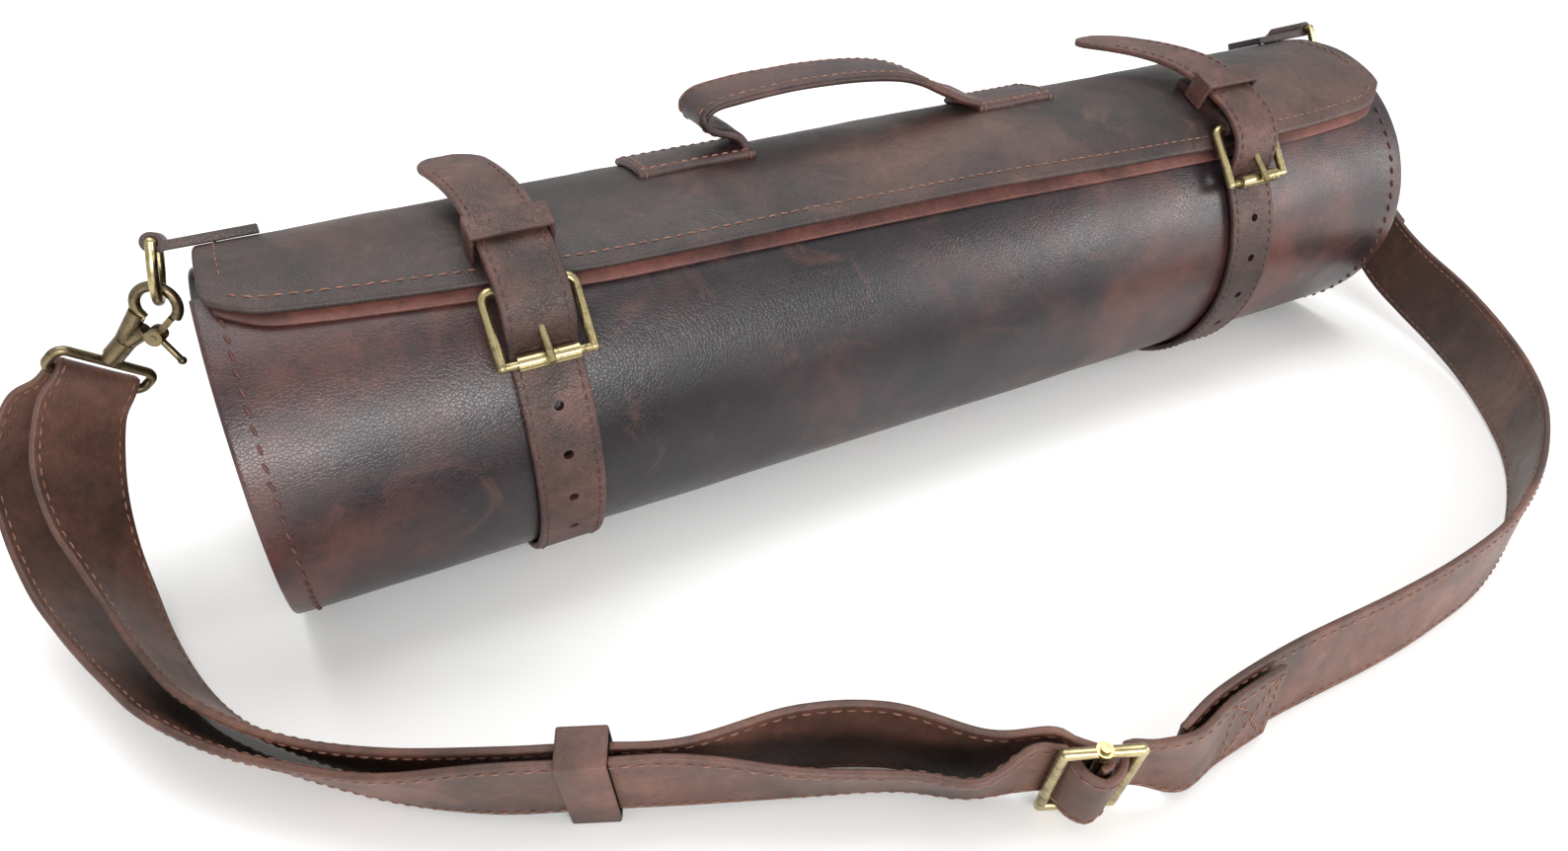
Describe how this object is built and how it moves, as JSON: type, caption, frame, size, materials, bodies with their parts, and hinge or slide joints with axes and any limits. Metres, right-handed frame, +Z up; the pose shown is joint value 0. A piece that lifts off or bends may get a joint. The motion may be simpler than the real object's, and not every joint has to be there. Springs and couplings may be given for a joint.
{
  "type": "brush roll case",
  "caption": "Rolled leather brush case lying buckled, with flap, carrying handle, buckled closure straps, ring tabs, snap hooks and an adjustable shoulder strap.",
  "frame": {"origin": "middle of the roll's length, on the table under the roll's centre line", "axes": "+X along the roll, -Y towards the front where the flap edge and the strap loop are, +Z up"},
  "size_m": [0.5742, 0.268, 0.1377],
  "materials": {
    "hide": "dark brown pull-up hide, satin",
    "strap_leather": "reddish brown waxed strap leather",
    "dark_leather": "dark brown waxed leather",
    "lining": "suede side, matte",
    "antique_brass": "antique brass plated wire",
    "bronze": "dark antique bronze casting"
  },
  "bodies": {
    "case": {"outer_wrap": "hide", "inner_lining": "lining", "hem_left": "dark_leather", "hem_right": "dark_leather", "flap": "hide", "flap_facing": "strap_leather", "closure_strap_left": "strap_leather", "closure_strap_right": "strap_leather", "buckle_chape_left": "dark_leather", "buckle_chape_right": "dark_leather", "buckle_frame_left": "antique_brass", "buckle_frame_right": "antique_brass", "keeper_loop_left": "strap_leather", "keeper_loop_right": "strap_leather", "handle_tab_left": "dark_leather", "handle_tab_right": "dark_leather", "ring_tab_left": "dark_leather", "ring_tab_right": "dark_leather", "swivel_eye_left": "bronze", "swivel_eye_right": "bronze", "shoulder_strap_long": "strap_leather", "shoulder_strap_adjust": "strap_leather", "strap_slider_frame": "antique_brass", "strap_slider_bar": "antique_brass"},
    "handle": {"handle_grip": "strap_leather"},
    "strap_keeper": {"strap_keeper": "dark_leather"},
    "d_ring_left": {"d_ring_left": "antique_brass"},
    "hook_left": {"hook_body_left": "bronze", "gate_pin_left": "bronze"},
    "gate_left": {"hook_gate_left": "bronze"},
    "roller_left": {"buckle_roller_left": "antique_brass"},
    "prong_left": {"buckle_prong_left": "antique_brass"},
    "d_ring_right": {"d_ring_right": "antique_brass"},
    "hook_right": {"hook_body_right": "bronze", "gate_pin_right": "bronze"},
    "gate_right": {"hook_gate_right": "bronze"},
    "roller_right": {"buckle_roller_right": "antique_brass"},
    "prong_right": {"buckle_prong_right": "antique_brass"}
  },
  "joints": [
    {"name": "handle_fold", "type": "hinge", "parent": "case", "child": "handle", "pos_m": [-0.01, 0.006, 0.1194], "axis": [1, 0, 0], "range_deg": [-20, 20]},
    {"name": "roller_spin_left", "type": "hinge", "parent": "case", "child": "roller_left", "pos_m": [-0.14, -0.05419, 0.08886], "axis": [1, 0, 0], "continuous": true},
    {"name": "prong_tilt_left", "type": "hinge", "parent": "case", "child": "prong_left", "pos_m": [-0.14, -0.04128, 0.10598], "axis": [1, 0, 0], "range_deg": [-6, 0]},
    {"name": "roller_spin_right", "type": "hinge", "parent": "case", "child": "roller_right", "pos_m": [0.136, -0.05419, 0.08886], "axis": [1, 0, 0], "continuous": true},
    {"name": "prong_tilt_right", "type": "hinge", "parent": "case", "child": "prong_right", "pos_m": [0.136, -0.04128, 0.10598], "axis": [1, 0, 0], "range_deg": [-6, 0]},
    {"name": "ring_swing_left", "type": "hinge", "parent": "case", "child": "d_ring_left", "pos_m": [-0.2315, 0.02345, 0.11304], "axis": [0, 0.9272, -0.3746], "range_deg": [-2, 2]},
    {"name": "hook_swivel_left", "type": "hinge", "parent": "case", "child": "hook_left", "pos_m": [-0.25029, 0.02232, 0.08302], "axis": [-0.7047, 0.2358, -0.6691], "range_deg": [-5, 5]},
    {"name": "gate_open_left", "type": "hinge", "parent": "hook_left", "child": "gate_left", "pos_m": [-0.23908, 0.01799, 0.08687], "axis": [-0.3819, -0.9209, 0.0777], "range_deg": [0, 24], "stiffness_Nm_per_rad": 0.02, "springref_deg": -20.05},
    {"name": "ring_swing_right", "type": "hinge", "parent": "case", "child": "d_ring_right", "pos_m": [0.2315, 0.02345, 0.11304], "axis": [0, -0.9272, 0.3746], "range_deg": [-2, 2]},
    {"name": "hook_swivel_right", "type": "hinge", "parent": "case", "child": "hook_right", "pos_m": [0.25029, 0.02232, 0.08302], "axis": [-0.7047, -0.2358, 0.6691], "range_deg": [-5, 5]},
    {"name": "gate_open_right", "type": "hinge", "parent": "hook_right", "child": "gate_right", "pos_m": [0.23908, 0.01799, 0.08687], "axis": [-0.3819, 0.9209, -0.0777], "range_deg": [0, 24], "stiffness_Nm_per_rad": 0.02, "springref_deg": -20.05},
    {"name": "keeper_slide", "type": "slide", "parent": "case", "child": "strap_keeper", "axis": [0.9092, -0.4163, 0], "range_m": [-0.006, 0.006]}
  ]
}
